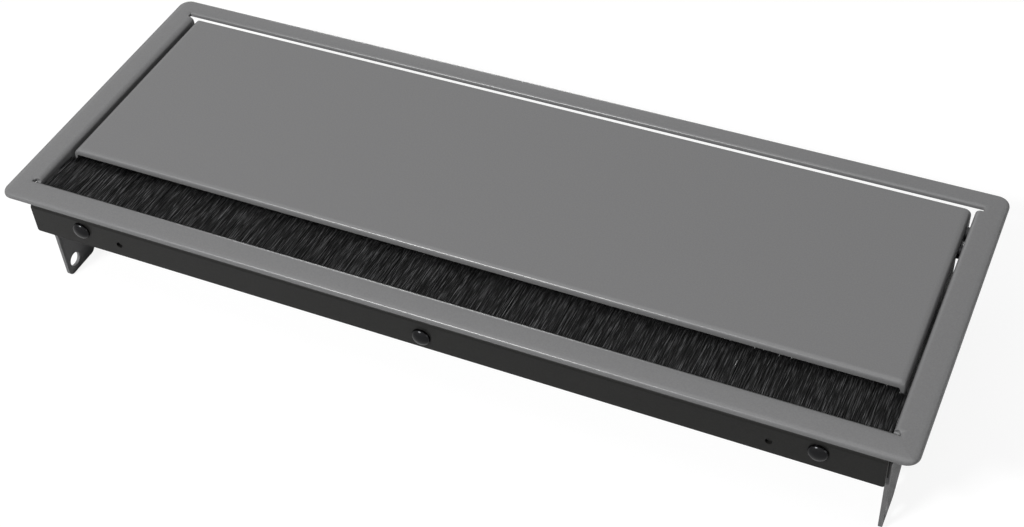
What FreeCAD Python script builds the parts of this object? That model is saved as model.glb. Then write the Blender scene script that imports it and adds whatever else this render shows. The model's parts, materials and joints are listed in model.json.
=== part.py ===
"""Brush cable grommet: a sheet metal desk frame with a hinged lid and a brush along the lid's front edge.

Millimetres, +Z up, X along the long side, -Y the front (brush) side. The origin is the middle of the
flange's underside, the plane that rests on the desk top, so the frame's top face is one sheet above it.
"""
import FreeCAD, Part
import Sketcher
import math
import os

from FreeCAD import Placement, Rotation, Vector

document = FreeCAD.newDocument("BrushCableGrommet")

# Driving dimensions. Depths and drops are counted down from the flange's underside unless the name says
# otherwise. A rim, gap, inset or overhang is the distance to the piece that it is named after.
DRIVING = {
    "flange_length": 320,
    "flange_width": 120,
    "flange_sheet": 1.2,
    "flange_corner_radius": 4.5,
    "rim_rounding": 1,
    "side_rim": 9.8,
    "front_rim": 9.9,
    "rear_rim": 7.8,
    "window_rounding": 0.9,
    "wall_front_gap": 0.2,
    "wall_rear_gap": 1.7,
    "wall_depth": 45.8,
    "wall_corner_radius": 2.4,
    "fold_radius": 1.8,
    "relief": 0.6,
    "relief_diameter": 2.2,
    "foot_length": 14.2,
    "arch_height": 18,
    "arch_run": 18,
    "arch_corner_radius": 6,
    "foot_hole_diameter": 5.4,
    "foot_hole_inset": 4.6,
    "foot_hole_height": 4.9,
    "tab_length": 28,
    "tab_height": 7,
    "tab_relief": 1,
    "lid_side_gap": 1.1,
    "lid_rear_gap": 2.2,
    "brush_gap": 18.4,
    "lid_drop": 0.3,
    "lid_sheet": 1.5,
    "lid_fold_radius": 2.4,
    "lid_side_depth": 14,
    "notch_length": 8.6,
    "lid_side_corner": 2,
    "lid_rounding": 1.2,
    "ear_radius": 4.8,
    "pivot_inset": 6.1,
    "pivot_depth": 4.5,
    "pivot_diameter": 3,
    "pivot_running_clearance": 0.05,
    "pivot_end_play": 0.1,
    "stop_spacing": 8.9,
    "stop_depth": 4.4,
    "stop_diameter": 4.6,
    "stop_clearance": 0.2,
    "stop_overhang": 0.4,
    "spacer_diameter": 5,
    "clip_diameter": 6.4,
    "clip_thickness": 0.8,
    "pin_head_diameter": 5.6,
    "pin_head_height": 1,
    "pin_overhang": 1.2,
    "seat_clearance": 0.05,
    "rail_overhang": 1,
    "rail_width": 6.6,
    "rail_height": 12.2,
    "rail_rear_extra": 2,
    "rail_sheet": 1.2,
    "rail_fold_radius": 1.6,
    "rail_corner_radius": 0.8,
    "rail_screw_inset": 19.4,
    "end_screw_drop": 5.2,
    "hole_row_drop": 7.1,
    "spare_hole_spacing": 15.1,
    "spare_hole_diameter": 2.4,
    "channel_height": 4.5,
    "channel_depth": 5,
    "channel_setback": 0.5,
    "channel_sheet": 0.5,
    "core_diameter": 1.2,
    "bristle_overlap": 3,
    "bristle_side_clearance": 0.7,
    "bristle_end_gap": 2,
    "bristle_tip_thickness": 3.4,
    "bristle_tip_drop": 1.6,
    "bristle_cleft_pitch": 3.6,
    "bristle_cleft_width": 0.9,
    "bristle_cleft_length": 9,
    "screw_diameter": 3.5,
    "screw_hole_clearance": 0.2,
    "screw_head_diameter": 6.5,
    "screw_head_height": 1.9,
    "screw_socket_width": 2.5,
    "screw_socket_depth": 1,
    "screw_overhang": 0.8,
    "nut_width": 6,
    "nut_thickness": 2.8,
}


class Size:
    """A length with its formula, so that a sketch starts at the right place and stays bound to the sheet."""

    def __init__(self, formula, value):
        self.formula = formula
        self.value = value

    def joined(self, sign, other, value):
        return Size(f"({self.formula} {sign} {as_size(other).formula})", value)

    def __add__(self, other):
        return self.joined("+", other, self.value + as_size(other).value)

    def __sub__(self, other):
        return self.joined("-", other, self.value - as_size(other).value)

    def __mul__(self, other):
        return self.joined("*", other, self.value * as_size(other).value)

    def __truediv__(self, other):
        return self.joined("/", other, self.value / as_size(other).value)

    def __neg__(self):
        return self * -1


def as_size(number):
    return number if isinstance(number, Size) else Size(f"({number})", number)


def fill_sheet():
    """Write the driving dimensions to the sheet and give each one back as a Size."""
    sheet = document.addObject("Spreadsheet::Sheet", "Sizes")
    sizes = {}
    for row, (name, number) in enumerate(DRIVING.items(), start=1):
        sheet.set(f"A{row}", name)
        sheet.set(f"B{row}", str(number))
        sheet.setAlias(f"B{row}", name)
        sizes[name] = Size(f"Sizes.{name}", number)
    document.recompute()
    return sizes


S = fill_sheet()
ENDS = {"left": -1, "right": 1}

# Places worked out from the driving dimensions, with the sign of the axis that they lie along.
half_length = S["flange_length"] / 2
half_width = S["flange_width"] / 2
wall_inside = half_length - S["side_rim"]
wall_outside = wall_inside + S["flange_sheet"]
fold_start = wall_inside + S["fold_radius"]
window_front = S["front_rim"] - half_width
window_rear = half_width - S["rear_rim"]
wall_front = window_front + S["wall_front_gap"]
wall_rear = window_rear - S["wall_rear_gap"]
rail_end = wall_inside + S["rail_overhang"]
rail_front = wall_front - S["rail_width"]
rail_screw_across = wall_inside - S["rail_screw_inset"]
rail_top = -S["channel_height"]
rail_bottom = rail_top - S["rail_height"]
end_screw_height = rail_top - S["end_screw_drop"]
hole_row_height = rail_top - S["hole_row_drop"]
channel_back = rail_front + S["channel_setback"]
channel_mouth = channel_back + S["channel_depth"]
channel_inside_height = S["channel_height"] - S["channel_sheet"] * 2
core_height = -S["channel_height"] / 2
core_back = channel_back + S["channel_sheet"] + channel_inside_height / 2
lid_top = S["flange_sheet"] - S["lid_drop"]
lid_underside = lid_top - S["lid_sheet"]
lid_side_bottom = lid_top - S["lid_side_depth"]
lid_outside = wall_inside - S["lid_side_gap"]
lid_inside = lid_outside - S["lid_sheet"]
lid_front = window_front + S["brush_gap"]
lid_rear = window_rear - S["lid_rear_gap"]
pivot_back = lid_rear - S["pivot_inset"]
stop_back = pivot_back - S["stop_spacing"]
screw_hole_diameter = S["screw_diameter"] + S["screw_hole_clearance"] * 2
SCREW_PLACES = {
    "left": (-rail_screw_across, end_screw_height),
    "middle": (as_size(0), hole_row_height),
    "right": (rail_screw_across, end_screw_height),
}


def bind(thing, name, size):
    """Set one property of an object from a Size and tie it to the sheet."""
    thing.setExpression(name, as_size(size).formula)


def new_body(label):
    body = document.addObject("PartDesign::Body", label)
    body.Label = label
    return body


def origin_feature(body, role):
    """One of the body's own base planes or axes, such as XZ_Plane or X_Axis."""
    return [feature for feature in body.Origin.OriginFeatures if feature.Role == role][0]


def new_sketch(body, name, role, offset=0):
    """An empty sketch on one of the body's planes, moved along that plane's normal by the offset."""
    sketch = body.newObject("Sketcher::SketchObject", name)
    sketch.AttachmentSupport = [(origin_feature(body, role), "")]
    sketch.MapMode = "FlatFace"
    sketch.AttachmentOffset = Placement(Vector(0, 0, as_size(offset).value), Rotation())
    bind(sketch, "AttachmentOffset.Base.z", offset)
    return sketch


def place_point(sketch, element, point, across, up):
    """Hold a point of the sketch at the given distances from the origin, bound to the sheet."""
    for kind, axis, size in (("DistanceX", -2, as_size(across)), ("DistanceY", -1, as_size(up))):
        if size.value == 0:
            sketch.addConstraint(Sketcher.Constraint("PointOnObject", element, point, axis))
            continue
        index = sketch.addConstraint(Sketcher.Constraint(kind, -1, 1, element, point, size.value))
        sketch.setExpression(f"Constraints[{index}]", size.formula)


def add_outline(sketch, corners):
    """A closed outline of straight lines through the corners, each a pair of sizes."""
    points = [Vector(as_size(across).value, as_size(up).value, 0) for across, up in corners]
    lines = [Part.LineSegment(points[n - 1], points[n]) for n in range(len(points))]
    elements = sketch.addGeometry(lines, False)
    for n, (across, up) in enumerate(corners):
        follower = elements[(n + 1) % len(corners)]
        sketch.addConstraint(Sketcher.Constraint("Coincident", elements[n], 2, follower, 1))
        place_point(sketch, elements[n], 2, across, up)


def add_rectangle(sketch, low_across, low_up, high_across, high_up):
    add_outline(sketch, [
        (low_across, low_up), (high_across, low_up), (high_across, high_up), (low_across, high_up),
    ])


def add_circle(sketch, across, up, diameter):
    centre = Vector(as_size(across).value, as_size(up).value, 0)
    element = sketch.addGeometry(Part.Circle(centre, Vector(0, 0, 1), diameter.value / 2), False)
    place_point(sketch, element, 3, across, up)
    index = sketch.addConstraint(Sketcher.Constraint("Diameter", element, diameter.value))
    sketch.setExpression(f"Constraints[{index}]", diameter.formula)


def pad(body, sketch, name, length, reverse=False):
    """Add material from the sketch along its plane's normal, or against it when reversed."""
    feature = body.newObject("PartDesign::Pad", name)
    feature.Profile = sketch
    feature.Reversed = reverse
    bind(feature, "Length", length)
    document.recompute()
    return feature


def pocket(body, sketch, name, depth=None):
    """Cut from the sketch against its plane's normal, to a depth or through all, and check that it cut."""
    volume = body.Shape.Volume
    feature = body.newObject("PartDesign::Pocket", name)
    feature.Profile = sketch
    if depth is None:
        feature.Type = "ThroughAll"
    else:
        bind(feature, "Length", depth)
    document.recompute()
    if not body.Shape.Volume < volume - 1e-6:
        raise RuntimeError(f"{name} cut nothing from {body.Label}")
    return feature


def near(number, size, tolerance=0.02):
    return abs(number - as_size(size).value) < tolerance


def dress_edges(body, name, kind, property_name, size, wanted):
    """Fillet or chamfer every edge of the body's shape whose box the test accepts."""
    base = body.Tip
    chosen = [f"Edge{n}" for n, edge in enumerate(base.Shape.Edges, start=1) if wanted(edge.BoundBox)]
    if not chosen:
        raise RuntimeError(f"{name} found no edge on {body.Label}")
    feature = body.newObject(kind, name)
    feature.Base = (base, chosen)
    bind(feature, property_name, size)
    document.recompute()
    return feature


def round_edges(body, name, radius, wanted):
    return dress_edges(body, name, "PartDesign::Fillet", "Radius", radius, wanted)


def bevel_edges(body, name, size, wanted):
    return dress_edges(body, name, "PartDesign::Chamfer", "Size", size, wanted)


def along(box, axis):
    """True where an edge is straight along one axis, by its box."""
    spans = {"X": box.XLength, "Y": box.YLength, "Z": box.ZLength}
    return all((span > 0.05) == (name == axis) for name, span in spans.items())


def place(thing, across, back, up, rotation=Rotation()):
    """Put a piece at a point that is bound to the sheet."""
    point = Vector(as_size(across).value, as_size(back).value, as_size(up).value)
    thing.Placement = Placement(point, rotation)
    for axis, size in (("x", across), ("y", back), ("z", up)):
        bind(thing, f"Placement.Base.{axis}", size)


def frame():
    """One folded sheet: flange with its window, two end walls on feet, a rail tab on each wall."""
    body = new_body("frame")
    window_side = fold_start + S["relief"]

    plate = new_sketch(body, "flange_outline", "XY_Plane")
    add_rectangle(plate, -half_length, -half_width, half_length, half_width)
    add_rectangle(plate, -window_side, window_front, window_side, window_rear)
    pad(body, plate, "flange", S["flange_sheet"])
    round_edges(body, "flange_corners", S["flange_corner_radius"],
                lambda box: along(box, "Z") and near(abs(box.XMin), half_length))

    walls = new_sketch(body, "end_wall_section", "XZ_Plane", -wall_rear)
    for side in ENDS.values():
        add_outline(walls, [
            (window_side * side, S["flange_sheet"]),
            (wall_inside * side, S["flange_sheet"]),
            (wall_inside * side, -S["wall_depth"]),
            (wall_outside * side, -S["wall_depth"]),
            (wall_outside * side, 0),
            (window_side * side, 0),
        ])
    pad(body, walls, "end_walls", wall_rear - wall_front)

    # Each wall stands out below as two feet, with an arch between them for cables that leave sideways.
    arch = new_sketch(body, "arch_outline", "YZ_Plane", half_length)
    arch_front = wall_front + S["foot_length"]
    arch_rear = wall_rear - S["foot_length"]
    arch_top = S["arch_height"] - S["wall_depth"]
    add_outline(arch, [
        (arch_front, -S["wall_depth"]), (arch_front + S["arch_run"], arch_top),
        (arch_rear - S["arch_run"], arch_top), (arch_rear, -S["wall_depth"]),
    ])
    pocket(body, arch, "arch")

    # Each wall's front edge carries a tab, folded inwards, that the brush rail is screwed to.
    tab_bottom = end_screw_height - S["tab_height"] / 2
    tab_top = tab_bottom + S["tab_height"]
    tab_back = wall_front + S["flange_sheet"]
    tabs = new_sketch(body, "rail_tab_plan", "XY_Plane", tab_bottom)
    for side in ENDS.values():
        tab_end = (wall_inside - S["tab_length"]) * side
        add_rectangle(tabs, wall_outside * side, wall_front, tab_end, tab_back)
    pad(body, tabs, "rail_tabs", S["tab_height"])
    slots = new_sketch(body, "tab_relief_slots", "YZ_Plane", half_length)
    slot_end = wall_front + S["fold_radius"] + S["flange_sheet"] / 2
    for bottom in (tab_bottom - S["tab_relief"], tab_top):
        add_rectangle(slots, wall_front - S["relief"], bottom, slot_end, bottom + S["tab_relief"])
    pocket(body, slots, "tab_relief")
    round_edges(body, "tab_folds_outside", S["fold_radius"],
                lambda box: along(box, "Z") and near(abs(box.XMin), wall_outside)
                and near(box.YMin, wall_front) and near(box.ZLength, S["tab_height"]))
    round_edges(body, "tab_folds_inside", S["fold_radius"] - S["flange_sheet"],
                lambda box: along(box, "Z") and near(abs(box.XMin), wall_inside)
                and near(box.YMin, tab_back) and near(box.ZLength, S["tab_height"]))

    round_edges(body, "wall_folds_outside", S["fold_radius"],
                lambda box: along(box, "Y") and near(abs(box.XMin), wall_inside)
                and near(box.ZMin, S["flange_sheet"]))
    round_edges(body, "wall_folds_inside", S["fold_radius"] - S["flange_sheet"],
                lambda box: along(box, "Y") and near(abs(box.XMin), wall_outside) and near(box.ZMin, 0))
    round_edges(body, "foot_corners", S["wall_corner_radius"],
                lambda box: along(box, "X") and near(box.ZMin, -S["wall_depth"]))
    round_edges(body, "arch_corners", S["arch_corner_radius"],
                lambda box: along(box, "X") and near(box.ZMin, arch_top))

    holes = new_sketch(body, "end_wall_holes", "YZ_Plane", half_length)
    foot_height = S["foot_hole_height"] - S["wall_depth"]
    add_circle(holes, wall_front + S["foot_hole_inset"], foot_height, S["foot_hole_diameter"])
    add_circle(holes, wall_rear - S["foot_hole_inset"], foot_height, S["foot_hole_diameter"])
    add_circle(holes, pivot_back, -S["pivot_depth"], S["pivot_diameter"] + S["seat_clearance"] * 2)
    add_circle(holes, stop_back, -S["stop_depth"], S["stop_diameter"] + S["seat_clearance"] * 2)
    pocket(body, holes, "end_wall_drilling")

    tab_holes = new_sketch(body, "tab_hole_centres", "XZ_Plane", -wall_front)
    for side in ENDS.values():
        add_circle(tab_holes, rail_screw_across * side, end_screw_height, screw_hole_diameter)
    pocket(body, tab_holes, "tab_drilling", S["flange_sheet"])

    round_edges(body, "rim", S["rim_rounding"],
                lambda box: near(box.ZMin, S["flange_sheet"]) and near(box.ZMax, S["flange_sheet"])
                and outside_window(box))
    round_edges(body, "window_edges", S["window_rounding"],
                lambda box: along(box, "X") and near(box.ZMin, S["flange_sheet"])
                and box.XLength > wall_inside.value
                and (near(box.YMin, window_front) or near(box.YMin, window_rear)))

    # A round relief where each fold ends at the window's front corners.
    reliefs = new_sketch(body, "fold_relief_centres", "XY_Plane", S["flange_sheet"])
    for side in ENDS.values():
        across = (fold_start - S["fold_radius"] / 2) * side
        add_circle(reliefs, across, window_front + S["relief"] / 2, S["relief_diameter"])
    pocket(body, reliefs, "fold_reliefs", S["flange_sheet"])
    return body


def outside_window(box):
    """True for the edges of the flange's outer outline, corner arcs among them."""
    reach = S["flange_corner_radius"].value + 0.02
    far_across = max(abs(box.XMin), abs(box.XMax)) > half_length.value - reach
    far_back = max(abs(box.YMin), abs(box.YMax)) > half_width.value - reach
    return far_across or far_back


def lid():
    """One folded sheet: the flap, its two side flanges and, behind a notch in each, the pivot's ear."""
    body = new_body("lid")
    section = new_sketch(body, "lid_section", "XZ_Plane", -lid_rear)
    add_outline(section, [
        (-lid_outside, lid_top), (lid_outside, lid_top),
        (lid_outside, lid_side_bottom), (lid_inside, lid_side_bottom),
        (lid_inside, lid_underside), (-lid_inside, lid_underside),
        (-lid_inside, lid_side_bottom), (-lid_outside, lid_side_bottom),
    ])
    pad(body, section, "lid_fold", lid_rear - lid_front)
    round_edges(body, "lid_folds_outside", S["lid_fold_radius"],
                lambda box: along(box, "Y") and near(box.ZMin, lid_top))
    round_edges(body, "lid_folds_inside", S["lid_fold_radius"] - S["lid_sheet"],
                lambda box: along(box, "Y") and near(box.ZMin, lid_underside)
                and near(abs(box.XMin), lid_inside))

    # The stop pin stands in the notch, and the ear hangs round the pivot pin.
    notch_top = S["stop_diameter"] / 2 + S["stop_clearance"] - S["stop_depth"]
    ear_bottom = -S["pivot_depth"] - S["ear_radius"]
    ear_front = pivot_back - S["ear_radius"]
    notch_front = ear_front - S["notch_length"]
    beyond = S["lid_sheet"]
    side = new_sketch(body, "lid_side_outline", "YZ_Plane", lid_outside + beyond)
    corner = S["lid_side_corner"]
    add_outline(side, [
        (notch_front - corner, lid_side_bottom - beyond), (notch_front - corner, lid_side_bottom),
        (notch_front, lid_side_bottom + corner), (notch_front, notch_top),
        (ear_front, notch_top), (ear_front, ear_bottom),
        (lid_rear + beyond, ear_bottom), (lid_rear + beyond, lid_side_bottom - beyond),
    ])
    add_outline(side, [
        (lid_front - beyond, lid_side_bottom + corner), (lid_front, lid_side_bottom + corner),
        (lid_front + corner, lid_side_bottom), (lid_front + corner, lid_side_bottom - beyond),
        (lid_front - beyond, lid_side_bottom - beyond),
    ])
    pocket(body, side, "lid_side_cut")
    round_edges(body, "ear_ends", S["ear_radius"] - S["seat_clearance"],
                lambda box: along(box, "X") and near(box.ZMin, ear_bottom))
    round_edges(body, "notch_corners", S["stop_diameter"] / 4,
                lambda box: along(box, "X") and near(box.ZMin, notch_top))

    pivot = new_sketch(body, "ear_hole", "YZ_Plane", lid_outside + beyond)
    add_circle(pivot, pivot_back, -S["pivot_depth"],
               S["pivot_diameter"] + S["pivot_running_clearance"] * 2)
    pocket(body, pivot, "ear_drilling")
    round_edges(body, "lid_front_edge", S["lid_rounding"],
                lambda box: along(box, "X") and near(box.ZMin, lid_top) and near(box.YMin, lid_front))
    return body


def brush_rail():
    """An inverted channel that presses the brush against the flange and is screwed to the frame's tabs."""
    body = new_body("brush_rail")
    sheet = S["rail_sheet"]
    rear_bottom = rail_bottom - S["rail_rear_extra"]
    section = new_sketch(body, "rail_section", "YZ_Plane", -rail_end)
    add_outline(section, [
        (rail_front, rail_bottom), (rail_front, rail_top), (wall_front, rail_top), (wall_front, rear_bottom),
        (wall_front - sheet, rear_bottom), (wall_front - sheet, rail_top - sheet),
        (rail_front + sheet, rail_top - sheet), (rail_front + sheet, rail_bottom),
    ])
    pad(body, section, "rail_fold", rail_end * 2)
    round_edges(body, "rail_folds_outside", S["rail_fold_radius"],
                lambda box: along(box, "X") and near(box.ZMin, rail_top))
    round_edges(body, "rail_folds_inside", S["rail_fold_radius"] - sheet,
                lambda box: along(box, "X") and near(box.ZMin, rail_top - sheet))
    round_edges(body, "rail_corners", S["rail_corner_radius"],
                lambda box: along(box, "Y") and near(box.ZMin, rail_bottom))

    screw_holes = new_sketch(body, "rail_screw_centres", "XZ_Plane", -rail_front)
    for across, height in SCREW_PLACES.values():
        add_circle(screw_holes, across, height, screw_hole_diameter)
    pocket(body, screw_holes, "rail_screw_drilling", S["rail_width"])
    spare_holes = new_sketch(body, "rail_spare_hole_centres", "XZ_Plane", -rail_front)
    for side in ENDS.values():
        across = (rail_screw_across - S["spare_hole_spacing"]) * side
        add_circle(spare_holes, across, hole_row_height, S["spare_hole_diameter"])
    pocket(body, spare_holes, "rail_spare_drilling", sheet)
    return body


def brush_channel():
    """The brush's own folded strip, open towards the rear, that the bristles come out of."""
    body = new_body("brush_channel")
    section = new_sketch(body, "channel_section", "YZ_Plane", -wall_inside)
    sheet = S["channel_sheet"]
    add_outline(section, [
        (channel_mouth, 0), (channel_back, 0), (channel_back, rail_top), (channel_mouth, rail_top),
        (channel_mouth, rail_top + sheet), (channel_back + sheet, rail_top + sheet),
        (channel_back + sheet, -sheet), (channel_mouth, -sheet),
    ])
    pad(body, section, "channel_fold", wall_inside * 2)
    round_edges(body, "channel_folds", sheet * 1.5,
                lambda box: along(box, "X") and near(box.YMin, channel_back))
    return body


def brush_core_wire():
    """The wire that the bristles are folded over inside the channel."""
    wire = document.addObject("Part::Cylinder", "brush_core_wire")
    wire.Label = "brush_core_wire"
    bind(wire, "Radius", S["core_diameter"] / 2)
    bind(wire, "Height", wall_inside * 2)
    place(wire, -wall_inside, core_back, core_height, Rotation(Vector(0, 1, 0), 90))
    return wire


def bristles():
    """The brush's hairs as one thin slab that reaches under the lid, with clefts between the tufts."""
    body = new_body("bristles")
    half = wall_inside - S["bristle_end_gap"]
    root = channel_back + S["channel_sheet"]
    tip = lid_front + S["bristle_overlap"]
    top = -S["channel_sheet"]
    bottom = rail_top + S["channel_sheet"]
    tip_top = -S["bristle_tip_drop"]
    section = new_sketch(body, "bristle_section", "YZ_Plane", -half)
    add_outline(section, [
        (root, top), (channel_mouth, top), (tip, tip_top), (tip, tip_top - S["bristle_tip_thickness"]),
        (channel_mouth, bottom), (root, bottom),
    ])
    add_circle(section, core_back, core_height, S["core_diameter"])
    pad(body, section, "bristle_slab", half * 2)

    # The slab is narrower where it passes between the lid's side flanges.
    ends = new_sketch(body, "side_flange_room", "XY_Plane")
    beside = lid_inside - S["bristle_side_clearance"]
    before = lid_front - S["bristle_side_clearance"]
    for side in ENDS.values():
        add_rectangle(ends, beside * side, before, (half + S["relief"]) * side, tip + S["relief"])
    pocket(body, ends, "side_flange_cuts")

    pitch = S["bristle_cleft_pitch"]
    count = math.floor(half.value * 2 / pitch.value)
    reach = pitch * (count - 1)
    cleft = new_sketch(body, "cleft_outline", "XY_Plane")
    add_outline(cleft, [
        (reach / -2, tip - S["bristle_cleft_length"]),
        ((reach - S["bristle_cleft_width"]) / -2, tip + S["relief"]),
        ((reach + S["bristle_cleft_width"]) / -2, tip + S["relief"]),
    ])
    cut = pocket(body, cleft, "cleft")
    row = body.newObject("PartDesign::LinearPattern", "cleft_row")
    row.Originals = [cut]
    row.Direction = (origin_feature(body, "X_Axis"), [""])
    row.Occurrences = count
    bind(row, "Length", reach)
    body.Tip = row
    document.recompute()
    return body


def round_bar(body, name, role, start, length, diameter, bore=None, reverse=False):
    """A round length of material on the body's axis, plain or with a bore."""
    sketch = new_sketch(body, f"{name}_circle", role, start)
    add_circle(sketch, 0, 0, diameter)
    if bore is not None:
        add_circle(sketch, 0, 0, bore)
    return pad(body, sketch, name, length, reverse)


def headed_pin(label, side, back, up, diameter, length):
    """A pin across an end wall, with a low head outside the wall and its shank towards the lid."""
    body = new_body(label)
    round_bar(body, "head", "YZ_Plane", 0, S["pin_head_height"], S["pin_head_diameter"])
    round_bar(body, "shank", "YZ_Plane", 0, length, diameter, reverse=True)
    turn = Rotation(Vector(0, 0, 1), 90 - 90 * side)
    place(body, wall_outside * side, back, up, turn)
    return body


def ring(label, side, inner_face, thickness, diameter, bore):
    """A ring on the pivot pin, from its face nearer the middle outwards."""
    body = new_body(label)
    round_bar(body, "ring", "YZ_Plane", 0, thickness, diameter, bore)
    turn = Rotation(Vector(0, 0, 1), 90 - 90 * side)
    place(body, inner_face * side, pivot_back, -S["pivot_depth"], turn)
    return body


def hexagon(width):
    """Corners of a hexagon by its width across the flats, two flats upright."""
    corner = width / round(math.sqrt(3), 6)
    return [
        (0, corner), (width / -2, corner / 2), (width / -2, corner / -2),
        (0, -corner), (width / 2, corner / -2), (width / 2, corner / 2),
    ]


def rail_screw(label, across, height):
    """A button head screw through the rail, its head in front and its nut behind."""
    body = new_body(label)
    length = S["rail_width"] + S["flange_sheet"] + S["nut_thickness"] + S["screw_overhang"]
    round_bar(body, "head", "XZ_Plane", 0, S["screw_head_height"], S["screw_head_diameter"])
    bevel_edges(body, "head_shoulder", S["screw_head_height"] / 2,
                lambda box: near(box.YMax, -S["screw_head_height"]))
    socket = new_sketch(body, "socket_outline", "XZ_Plane", S["screw_head_height"])
    add_outline(socket, hexagon(S["screw_socket_width"]))
    pocket(body, socket, "socket", S["screw_socket_depth"])
    round_bar(body, "shank", "XZ_Plane", 0, length, S["screw_diameter"], reverse=True)
    place(body, across, rail_front, height)
    return body


def rail_nut(label, across, height):
    """The nut of a rail screw, against the frame's tab or, in the middle, against the rail itself."""
    body = new_body(label)
    outline = new_sketch(body, "nut_outline", "XZ_Plane")
    add_outline(outline, hexagon(S["nut_width"]))
    add_circle(outline, 0, 0, S["screw_diameter"])
    pad(body, outline, "nut", S["nut_thickness"], reverse=True)
    face = wall_front if across.value == 0 else wall_front + S["flange_sheet"]
    place(body, across, face, height)
    return body


def build_all():
    pieces = [frame(), lid(), brush_rail(), brush_channel(), brush_core_wire(), bristles()]
    pin_length = wall_outside - lid_inside + S["pivot_end_play"] + S["clip_thickness"] + S["pin_overhang"]
    stop_length = wall_outside - lid_inside + S["stop_overhang"]
    lid_gap = lid_outside + S["pivot_end_play"]
    clip_face = lid_inside - S["pivot_end_play"] - S["clip_thickness"]
    for name, side in ENDS.items():
        pieces += [
            headed_pin(f"pivot_pin_{name}", side, pivot_back, -S["pivot_depth"],
                       S["pivot_diameter"], pin_length),
            headed_pin(f"stop_pin_{name}", side, stop_back, -S["stop_depth"],
                       S["stop_diameter"], stop_length),
            ring(f"pivot_spacer_{name}", side, lid_gap, wall_inside - lid_gap, S["spacer_diameter"],
                 S["pivot_diameter"] + S["seat_clearance"] * 2),
            ring(f"pivot_clip_{name}", side, clip_face, S["clip_thickness"], S["clip_diameter"],
                 S["pivot_diameter"]),
        ]
    for name, (across, height) in SCREW_PLACES.items():
        pieces.append(rail_screw(f"rail_screw_{name}", across, height))
        pieces.append(rail_nut(f"rail_nut_{name}", across, height))
    return pieces


def sound(shape):
    return not shape.isNull() and shape.isValid()


def write_all(pieces):
    """Check every object of the model, then write each piece to its own file."""
    document.recompute()
    for thing in document.Objects:
        if "Invalid" in thing.State or "Error" in thing.State:
            raise RuntimeError(f"{thing.Label} has not been computed: {thing.State}")
        if thing.isDerivedFrom("PartDesign::Feature") and not sound(thing.Shape):
            raise RuntimeError(f"{thing.Label} has no valid shape")
    os.makedirs("parts", exist_ok=True)
    for piece in pieces:
        if not sound(piece.Shape) or len(piece.Shape.Solids) != 1:
            raise RuntimeError(f"{piece.Label} is not one valid solid")
        piece.Shape.exportStep(f"parts/{piece.Label}.step")
        box = piece.Shape.BoundBox
        print(f"{piece.Label}: x {box.XMin:.2f} {box.XMax:.2f}, y {box.YMin:.2f} {box.YMax:.2f}, "
              f"z {box.ZMin:.2f} {box.ZMax:.2f}")


write_all(build_all())
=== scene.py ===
"""Brush cable grommet: materials, brush hairs, screws, floor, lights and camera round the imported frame.

Lengths in the tables below are millimetres in the part's own frame: origin at the middle of the flange's
underside, +X along the long side, -Y towards the brush side, +Z up. The floor, the lamps and the distance of
a bump are in metres.
"""

import json
import math
import random

import bpy
from mathutils import Matrix, Vector


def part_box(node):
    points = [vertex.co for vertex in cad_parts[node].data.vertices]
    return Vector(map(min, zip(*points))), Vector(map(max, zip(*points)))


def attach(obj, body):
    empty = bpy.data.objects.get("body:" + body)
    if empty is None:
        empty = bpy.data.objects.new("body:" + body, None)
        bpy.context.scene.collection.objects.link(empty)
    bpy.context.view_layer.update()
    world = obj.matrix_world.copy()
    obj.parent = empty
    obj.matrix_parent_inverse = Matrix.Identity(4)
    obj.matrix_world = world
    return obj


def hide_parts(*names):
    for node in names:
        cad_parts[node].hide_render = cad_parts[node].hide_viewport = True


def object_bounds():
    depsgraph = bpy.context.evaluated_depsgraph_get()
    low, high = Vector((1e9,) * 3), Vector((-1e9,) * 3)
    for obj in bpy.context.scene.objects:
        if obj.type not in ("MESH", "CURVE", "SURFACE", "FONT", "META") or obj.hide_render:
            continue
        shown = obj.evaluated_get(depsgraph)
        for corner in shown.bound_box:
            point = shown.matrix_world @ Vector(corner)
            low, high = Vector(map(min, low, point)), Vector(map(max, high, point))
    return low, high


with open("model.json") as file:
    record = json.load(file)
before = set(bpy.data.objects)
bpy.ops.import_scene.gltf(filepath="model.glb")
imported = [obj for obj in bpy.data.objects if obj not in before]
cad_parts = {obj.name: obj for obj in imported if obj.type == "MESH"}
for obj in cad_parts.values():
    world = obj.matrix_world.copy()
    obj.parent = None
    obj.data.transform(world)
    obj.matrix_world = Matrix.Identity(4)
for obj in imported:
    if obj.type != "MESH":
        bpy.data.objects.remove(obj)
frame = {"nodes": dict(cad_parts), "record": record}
cad_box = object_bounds()
nodes = frame["nodes"]
record = frame["record"]

MM = 0.001
SEED = 7

# Camera, from the photograph's own perspective: place, the point it looks at, roll and focal length.
CAMERA_PLACE = (196.2, -369.6, 381.4)
CAMERA_TARGET = (19.4, -27.3, 1.2)
CAMERA_ROLL = 4.25
CAMERA_LENS = 59.17
SENSOR_WIDTH = 36.0
CLIP_START = 10.0

# Brush: rows of hairs on top of each other, and the hair itself. HAIR_STEPS is its number of segments.
HAIR_ROWS = 10
HAIRS_IN_ROW = 1450
HAIR_STEPS = 4
HAIR_SIDES = 3
HAIR_WIDTH = 0.34
HAIR_WIDTH_SPREAD = (0.8, 1.15)
HAIR_TAPER = 0.4
HAIR_BEND = 1.5

# Where the hairs leave their channel and where they end, under the lid's front edge.
HAIR_END = 149.8
HAIR_ROOT_BACK = -55.3
HAIR_ROOT_HEIGHTS = (-3.8, -0.7)
HAIR_TIP_BACK = (-29.3, -28.75)
HAIR_TIP_HEIGHTS = (-4.8, -1.7)

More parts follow.
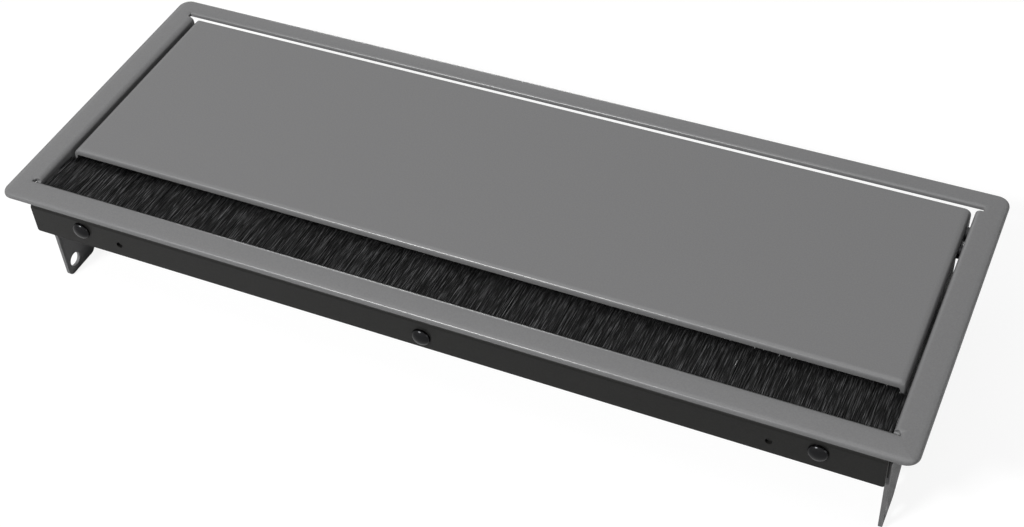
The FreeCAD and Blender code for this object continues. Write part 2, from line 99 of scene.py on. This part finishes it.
# Hairs further out than this end in front of the lid's side flanges.
FLANGE_ROOM_ACROSS = 147.5
FLANGE_ROOM_BACK = -32.1
FLANGE_ROOM_SPREAD = 0.5

# Tufts: their pitch, how much each draws its tips together, and how tufts and single hairs lean and sink.
TUFT_PITCH = 3.6
TUFT_DRAW = (0.0, 0.08)
TUFT_LEAN = 0.12
TUFT_RISE = (-0.15, 0.05)
ROOT_SPREAD = 0.12
HAIR_LEAN = 0.55
HAIR_SINK = 0.1

# Rail screws: height of the domed head, the straight rim under its dome and the shank's diameter.
SCREW_HEAD_HEIGHT = 1.9
SCREW_HEAD_RIM = 0.35
SCREW_SHANK = 3.5
SCREW_SIDES = 48
SCREW_DOME_STEPS = 10
SCREW_SHARP_ANGLE = 50

# Edges that the coat rounds further: where they lie, how far in the surface starts to fall and the slope
# that it has at the edge.
RIM_ACROSS = 160.0
RIM_BACK = 60.0
RIM_FALL = (10.0, 0.12)
RIM_ROUNDING = (2.2, 0.5)
WINDOW_FRONT = -50.1
WINDOW_REAR = 52.2
WINDOW_ACROSS = 152.0
WINDOW_ROUNDING = (2.2, 0.65)
LID_FRONT = -31.7
LID_ROUNDING = (2.8, 0.8)

# Coats: darker and lighter tone, roughness and specular level.
GREY_COAT = ((0.157, 0.157, 0.159), (0.173, 0.173, 0.175), 0.27, 0.4)
BLACK_COAT = ((0.013, 0.0128, 0.0122), (0.017, 0.0167, 0.0159), 0.32, 0.14)
# The hairs' lighter tone is a painted highlight: glints painted into their colour in streaks.
BRISTLE_AND_PAINTED_GLINTS = ((0.0085, 0.0085, 0.0087), (0.11, 0.11, 0.112), 0.36, 0.14)

# Noise scales of the coats' speckle and of the painted glint streaks in the hairs, which are drawn out along
# Y.
COAT_SPECKLE = 2200.0
PAINTED_GLINT_STREAK_SCALE = 3000.0
PAINTED_GLINT_STREAK_STRETCH = 0.03

# Floor: half its width, the share of light that it scatters and its own glow where the camera sees it, and
# its tone for light that it throws on the object and for its mirror image.
FLOOR_REACH = 6.0
FLOOR_SHADOW = 0.16
FLOOR_WHITE = 0.885
FLOOR_PLAIN = 0.15
FLOOR_MIRRORED = 0.8

# Lamps, all turned to the part's origin: place, size and power.
LIGHTS = {
    "key": ((-0.48, -1.0, 0.93), (0.33, 0.12), 18.5),
    "top": ((0.0, -0.05, 1.0), (1.3, 0.9), 4.0),
    "back": ((-0.6, 1.4, 0.15), (0.45, 0.12), 2.8),
    "right": ((0.9, -0.2, 0.25), (0.5, 0.3), 1.5),
}
AMBIENT = 0.06


# Materials

def new_material(name, colour, roughness, metallic=0.0, specular=0.5):
    material = bpy.data.materials.new(name)
    material.use_nodes = True
    shader = material.node_tree.nodes["Principled BSDF"]
    shader.inputs["Base Color"].default_value = (*colour, 1.0)
    shader.inputs["Roughness"].default_value = roughness
    shader.inputs["Metallic"].default_value = metallic
    shader.inputs["Specular IOR Level"].default_value = specular
    return material, material.node_tree, shader


def calculate(tree, operation, *values):
    """One step of arithmetic on sockets and numbers."""
    node = tree.nodes.new("ShaderNodeMath")
    node.operation = operation
    for socket, value in zip(node.inputs, values):
        if isinstance(value, (int, float)):
            socket.default_value = value
        else:
            tree.links.new(value, socket)
    return node.outputs[0]


def object_place(tree):
    return tree.nodes.new("ShaderNodeTexCoord").outputs["Object"]


def add_bump(tree, shader, height, strength, distance):
    """Tilt the surface by a height, on top of any bump that the shader already has."""
    bump = tree.nodes.new("ShaderNodeBump")
    bump.inputs["Strength"].default_value = strength
    bump.inputs["Distance"].default_value = distance
    tree.links.new(height, bump.inputs["Height"])
    normal = shader.inputs["Normal"]
    if normal.is_linked:
        tree.links.new(normal.links[0].from_socket, bump.inputs["Normal"])
    tree.links.new(bump.outputs["Normal"], normal)


def noise(tree, vector, scale, detail):
    texture = tree.nodes.new("ShaderNodeTexNoise")
    texture.inputs["Scale"].default_value = scale
    texture.inputs["Detail"].default_value = detail
    tree.links.new(vector, texture.inputs["Vector"])
    return texture.outputs["Fac"]


def add_grain(tree, shader, scale, strength, distance):
    """A fine uneven surface, whose bump is given in metres."""
    add_bump(tree, shader, noise(tree, object_place(tree), scale, detail=2.0), strength, distance)


def wander(tree, shader, vector, scale, dark, light, low=0.36, high=0.64):
    """A base colour that wanders between two tones."""
    ramp = tree.nodes.new("ShaderNodeValToRGB")
    for element, position, tone in zip(ramp.color_ramp.elements, (low, high), (dark, light)):
        element.position = position
        element.color = (*tone, 1.0)
    tree.links.new(noise(tree, vector, scale, detail=3.0), ramp.inputs["Fac"])
    tree.links.new(ramp.outputs["Color"], shader.inputs["Base Color"])


def fall(tree, distance, reach, slope):
    """Height of a surface that curves down to an edge: flat beyond the reach, with this slope at the edge."""
    inwards = calculate(tree, "MAXIMUM", calculate(tree, "SUBTRACT", reach * MM, distance), 0.0)
    squared = calculate(tree, "MULTIPLY", inwards, inwards)
    return calculate(tree, "MULTIPLY", squared, -slope / (2 * reach * MM))


def place_along(tree):
    """The surface point's X and Y as two sockets."""
    split = tree.nodes.new("ShaderNodeSeparateXYZ")
    tree.links.new(object_place(tree), split.inputs[0])
    return split.outputs["X"], split.outputs["Y"]


def from_line(tree, back, line):
    """Distance from the line across the part at this Y."""
    return calculate(tree, "ABSOLUTE", calculate(tree, "SUBTRACT", back, line * MM))


def frame_edges(tree):
    """The flange falls a little towards its rim and is well rounded along the window and its bare rim.

    The bare rim is the rim in front and at the sides.
    """
    across, back = place_along(tree)
    away = calculate(tree, "ABSOLUTE", across)
    to_side = calculate(tree, "SUBTRACT", RIM_ACROSS * MM, away)
    to_long_rim = calculate(tree, "SUBTRACT", RIM_BACK * MM, calculate(tree, "ABSOLUTE", back))
    to_rim = calculate(tree, "MINIMUM", to_side, to_long_rim)
    to_bare_rim = calculate(tree, "MINIMUM", to_side, calculate(tree, "ADD", back, RIM_BACK * MM))
    height = calculate(tree, "ADD", fall(tree, to_rim, *RIM_FALL), fall(tree, to_bare_rim, *RIM_ROUNDING))
    past_window = calculate(tree, "SUBTRACT", away, WINDOW_ACROSS * MM)
    for line in (WINDOW_FRONT, WINDOW_REAR):
        to_window = calculate(tree, "MAXIMUM", from_line(tree, back, line), past_window)
        height = calculate(tree, "ADD", height, fall(tree, to_window, *WINDOW_ROUNDING))
    return height


def lid_edge(tree):
    """The lid is well rounded along its front edge."""
    _, back = place_along(tree)
    return fall(tree, from_line(tree, back, LID_FRONT), *LID_ROUNDING)


def coat(name, dark, light, roughness, specular, edges=None):
    """A fine textured powder coat, with edges that it rounds where a function gives their height."""
    material, tree, shader = new_material(name, light, roughness, specular=specular)
    if edges is not None:
        add_bump(tree, shader, edges(tree), strength=1.0, distance=1.0)
    add_grain(tree, shader, scale=2600.0, strength=0.2, distance=0.0001)
    wander(tree, shader, object_place(tree), COAT_SPECKLE, dark, light)
    return material


def metal(name, colour, roughness):
    material, tree, shader = new_material(name, colour, roughness, metallic=1.0)
    add_grain(tree, shader, scale=900.0, strength=0.12, distance=0.00008)
    return material


def nylon(name, colour, roughness):
    material, tree, shader = new_material(name, colour, roughness)
    add_grain(tree, shader, scale=600.0, strength=0.1, distance=0.0001)
    return material


def bristle_nylon_with_painted_glints(name, dark, light, roughness, specular):
    """Dark nylon hairs with painted glints: streaks along them have a lighter tone that stands in for
    highlights.
    """
    material, tree, shader = new_material(name, dark, roughness, specular=specular)
    along = tree.nodes.new("ShaderNodeMapping")
    along.inputs["Scale"].default_value = (1.0, PAINTED_GLINT_STREAK_STRETCH, 1.0)
    tree.links.new(object_place(tree), along.inputs["Vector"])
    # Painted highlight: the lighter tone in streaks along the hairs.
    wander(tree, shader, along.outputs["Vector"], PAINTED_GLINT_STREAK_SCALE, dark, light, low=0.5, high=0.66)
    return material


MATERIALS = {
    "dark_coat": coat("dark_coat", *BLACK_COAT),
    "bristle": bristle_nylon_with_painted_glints("bristle", *BRISTLE_AND_PAINTED_GLINTS),
    "zinc_steel": metal("zinc_steel", (0.55, 0.55, 0.56), 0.35),
    "dark_steel": metal("dark_steel", (0.02, 0.02, 0.021), 0.22),
    "spacer_plastic": nylon("spacer_plastic", (0.02, 0.02, 0.021), 0.45),
}
GREY_MATERIALS = {
    "frame": coat("grey_coat_frame", *GREY_COAT, frame_edges),
    "lid": coat("grey_coat_lid", *GREY_COAT, lid_edge),
}
slot_of_node = {part["node"]: part["material_slot"] for part in record["subparts"]}
for name, node in nodes.items():
    node.data.materials.clear()
    node.data.materials.append(GREY_MATERIALS.get(name) or MATERIALS[slot_of_node[name]])


# Brush hairs

def between(limits, share):
    low, high = limits
    return low + (high - low) * share


def within_brush(x):
    return max(-HAIR_END, min(HAIR_END, x))


def hair_line(generator, row, place):
    """One hair's points, from inside the channel to its tip: row 0 is the lowest, place runs from 0 to 1."""
    x = within_brush(-HAIR_END + 2 * HAIR_END * place + generator.gauss(0, ROOT_SPREAD))
    tuft = round(x / TUFT_PITCH)
    tuft_noise = random.Random(SEED * 1000 + tuft)
    lean = tuft_noise.gauss(0, TUFT_LEAN) + generator.gauss(0, HAIR_LEAN)
    tip_x = within_brush(x + (tuft * TUFT_PITCH - x) * tuft_noise.uniform(*TUFT_DRAW) + lean)
    height = (row + generator.uniform(0, 1)) / HAIR_ROWS
    root_z = between(HAIR_ROOT_HEIGHTS, height)
    tip_z = between(HAIR_TIP_HEIGHTS, height)
    tip_z += tuft_noise.uniform(*TUFT_RISE) - abs(generator.gauss(0, HAIR_SINK))
    if max(abs(x), abs(tip_x)) > FLANGE_ROOM_ACROSS:
        tip_y = FLANGE_ROOM_BACK - generator.uniform(0, FLANGE_ROOM_SPREAD)
    else:
        tip_y = generator.uniform(*HAIR_TIP_BACK)
    points = []
    for step in range(HAIR_STEPS + 1):
        along = step / HAIR_STEPS
        bend = along ** HAIR_BEND
        y = HAIR_ROOT_BACK + (tip_y - HAIR_ROOT_BACK) * along
        points.append(Vector((x + (tip_x - x) * bend, y, root_z + (tip_z - root_z) * bend)))
    return points


def hair_mesh(name, rows, generator):
    """Many tapered hairs as one mesh, closed at both ends."""
    verts, faces = [], []
    count = HAIRS_IN_ROW * len(rows)
    for number in range(count):
        points = hair_line(generator, rows[number % len(rows)], (number + generator.uniform(0, 1)) / count)
        turn = generator.uniform(0, 2 * math.pi)
        width = HAIR_WIDTH * generator.uniform(*HAIR_WIDTH_SPREAD)
        base = len(verts)
        for step, point in enumerate(points):
            radius = width / 2 * (1 - HAIR_TAPER * step / HAIR_STEPS)
            for side in range(HAIR_SIDES):
                angle = turn + side * 2 * math.pi / HAIR_SIDES
                verts.append((point + Vector((math.cos(angle) * radius, 0, math.sin(angle) * radius))) * MM)
        for step in range(HAIR_STEPS):
            for side in range(HAIR_SIDES):
                a = base + step * HAIR_SIDES + side
                b = base + step * HAIR_SIDES + (side + 1) % HAIR_SIDES
                faces.append((a, b, b + HAIR_SIDES, a + HAIR_SIDES))
        end = base + HAIR_STEPS * HAIR_SIDES
        faces.append(tuple(range(end, end + HAIR_SIDES)))
        faces.append(tuple(reversed(range(base, base + HAIR_SIDES))))
    mesh = bpy.data.meshes.new(name)
    mesh.from_pydata([tuple(v) for v in verts], [], faces)
    mesh.polygons.foreach_set("use_smooth", [True] * len(mesh.polygons))
    mesh.update()
    return mesh


def add_piece(name, mesh, slot, body="root"):
    piece = bpy.data.objects.new(name, mesh)
    bpy.context.scene.collection.objects.link(piece)
    piece.data.materials.append(MATERIALS[slot])
    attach(piece, body)
    return piece


LOWER_ROWS = range(0, HAIR_ROWS // 2)
UPPER_ROWS = range(HAIR_ROWS // 2, HAIR_ROWS)
lower_seed = random.Random(SEED)
lower_hairs = add_piece("lower_hairs", hair_mesh("lower_hairs", LOWER_ROWS, lower_seed), "bristle")
upper_seed = random.Random(SEED + 1)
upper_hairs = add_piece("upper_hairs", hair_mesh("upper_hairs", UPPER_ROWS, upper_seed), "bristle")
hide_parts("bristles")
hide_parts("bristles")


# Rail screws

def screw_profile(head_radius, length):
    """Radius and depth of the screw's outline, from the middle of its dome to the end of its shank."""
    outline = []
    dome = SCREW_HEAD_HEIGHT - SCREW_HEAD_RIM
    for step in range(SCREW_DOME_STEPS + 1):
        angle = step / SCREW_DOME_STEPS * math.pi / 2
        outline.append((head_radius * math.sin(angle), dome * (1 - math.cos(angle))))
    outline.append((head_radius, SCREW_HEAD_HEIGHT))
    outline.append((SCREW_SHANK / 2, SCREW_HEAD_HEIGHT))
    outline.append((SCREW_SHANK / 2, length))
    outline.append((0, length))
    return outline


def screw_mesh(name, low, high):
    """A closed turned body within the node's box, its axis along Y and its head in front."""
    centre_x = (low[0] + high[0]) / 2
    centre_z = (low[2] + high[2]) / 2
    outline = screw_profile((high[0] - low[0]) / 2 / MM, (high[1] - low[1]) / MM)
    verts, rings = [], []
    for radius, depth in outline:
        sides = 1 if radius == 0 else SCREW_SIDES
        rings.append(list(range(len(verts), len(verts) + sides)))
        for side in range(sides):
            angle = side / SCREW_SIDES * 2 * math.pi
            verts.append((centre_x + radius * MM * math.cos(angle), low[1] + depth * MM,
                          centre_z + radius * MM * math.sin(angle)))
    faces = []
    for front, behind in zip(rings, rings[1:]):
        for side in range(SCREW_SIDES):
            after = (side + 1) % SCREW_SIDES
            corners = [front[side % len(front)], front[after % len(front)],
                       behind[after % len(behind)], behind[side % len(behind)]]
            faces.append(tuple(dict.fromkeys(corners)))
    mesh = bpy.data.meshes.new(name)
    mesh.from_pydata(verts, [], faces)
    mesh.polygons.foreach_set("use_smooth", [True] * len(mesh.polygons))
    mesh.set_sharp_from_angle(angle=math.radians(SCREW_SHARP_ANGLE))
    mesh.update()
    return mesh


for place_name in ("left", "middle", "right"):
    node_name = f"rail_screw_{place_name}"
    piece_name = f"domed_screw_{place_name}"
    screw = add_piece(piece_name, screw_mesh(piece_name, *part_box(node_name)), "dark_steel")
    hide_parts(node_name)


# Floor, lights and camera

def any_of(tree, *flags):
    """1 where any of the light path's flags is 1."""
    path = tree.nodes.new("ShaderNodeLightPath")
    result = path.outputs[flags[0]]
    for flag in flags[1:]:
        result = calculate(tree, "MAXIMUM", result, path.outputs[flag])
    return result


def mix(tree, amount, first, second):
    node = tree.nodes.new("ShaderNodeMixShader")
    tree.links.new(amount, node.inputs["Fac"])
    tree.links.new(first, node.inputs[1])
    tree.links.new(second, node.inputs[2])
    return node.outputs[0]


def matt(tree, tone):
    node = tree.nodes.new("ShaderNodeBsdfDiffuse")
    node.inputs["Color"].default_value = (tone, tone, tone, 1)
    return node.outputs[0]


def add_floor():
    """A pale floor that looks white and keeps a light shadow."""
    mesh = bpy.data.meshes.new("floor")
    corners = ((-1, -1), (1, -1), (1, 1), (-1, 1))
    mesh.from_pydata([(x * FLOOR_REACH, y * FLOOR_REACH, 0) for x, y in corners], [], [(0, 1, 2, 3)])
    floor = bpy.data.objects.new("floor", mesh)
    floor.location = (0, 0, cad_box[0][2])
    bpy.context.scene.collection.objects.link(floor)
    material = bpy.data.materials.new("floor")
    material.use_nodes = True
    tree = material.node_tree
    tree.nodes.remove(tree.nodes["Principled BSDF"])
    floor.data.materials.append(material)
    glow = tree.nodes.new("ShaderNodeEmission")
    glow.inputs["Strength"].default_value = FLOOR_WHITE
    white = tree.nodes.new("ShaderNodeAddShader")
    tree.links.new(matt(tree, FLOOR_SHADOW), white.inputs[0])
    tree.links.new(glow.outputs[0], white.inputs[1])
    unseen = mix(tree, any_of(tree, "Is Glossy Ray"), matt(tree, FLOOR_PLAIN), matt(tree, FLOOR_MIRRORED))
    seen = mix(tree, any_of(tree, "Is Camera Ray", "Is Transmission Ray"), unseen, white.outputs[0])
    tree.links.new(seen, tree.nodes["Material Output"].inputs["Surface"])


def add_light(name, place, size, power):
    data = bpy.data.lights.new(name, "AREA")
    data.shape = "RECTANGLE"
    data.size, data.size_y = size
    data.energy = power
    light = bpy.data.objects.new(name, data)
    light.location = Vector(place)
    light.rotation_euler = (-Vector(place)).to_track_quat("-Z", "Y").to_euler()
    bpy.context.scene.collection.objects.link(light)


def background(tree, strength):
    node = tree.nodes.new("ShaderNodeBackground")
    node.inputs["Color"].default_value = (1, 1, 1, 1)
    node.inputs["Strength"].default_value = strength
    return node.outputs[0]


def add_world():
    """White where the camera, a reflection or a view through glass sees it, and plain ambient light."""
    world = bpy.data.worlds.new("studio")
    bpy.context.scene.world = world
    world.use_nodes = True
    tree = world.node_tree
    tree.nodes.clear()
    output = tree.nodes.new("ShaderNodeOutputWorld")
    seen = any_of(tree, "Is Camera Ray", "Is Glossy Ray", "Is Transmission Ray")
    light = mix(tree, seen, background(tree, AMBIENT), background(tree, 1.0))
    tree.links.new(light, output.inputs["Surface"])


def add_camera():
    data = bpy.data.cameras.new("camera")
    data.sensor_width = SENSOR_WIDTH
    data.lens = CAMERA_LENS
    data.clip_start = CLIP_START * MM
    camera = bpy.data.objects.new("camera", data)
    place = Vector(CAMERA_PLACE) * MM
    look = (Vector(CAMERA_TARGET) * MM - place).to_track_quat("-Z", "Y").to_matrix().to_4x4()
    roll = Matrix.Rotation(math.radians(-CAMERA_ROLL), 4, "Z")
    camera.matrix_world = Matrix.Translation(place) @ look @ roll
    bpy.context.scene.collection.objects.link(camera)
    bpy.context.scene.camera = camera


add_floor()
for name, settings in LIGHTS.items():
    add_light(name, *settings)
add_world()
add_camera()
bpy.context.scene.view_settings.view_transform = "Standard"
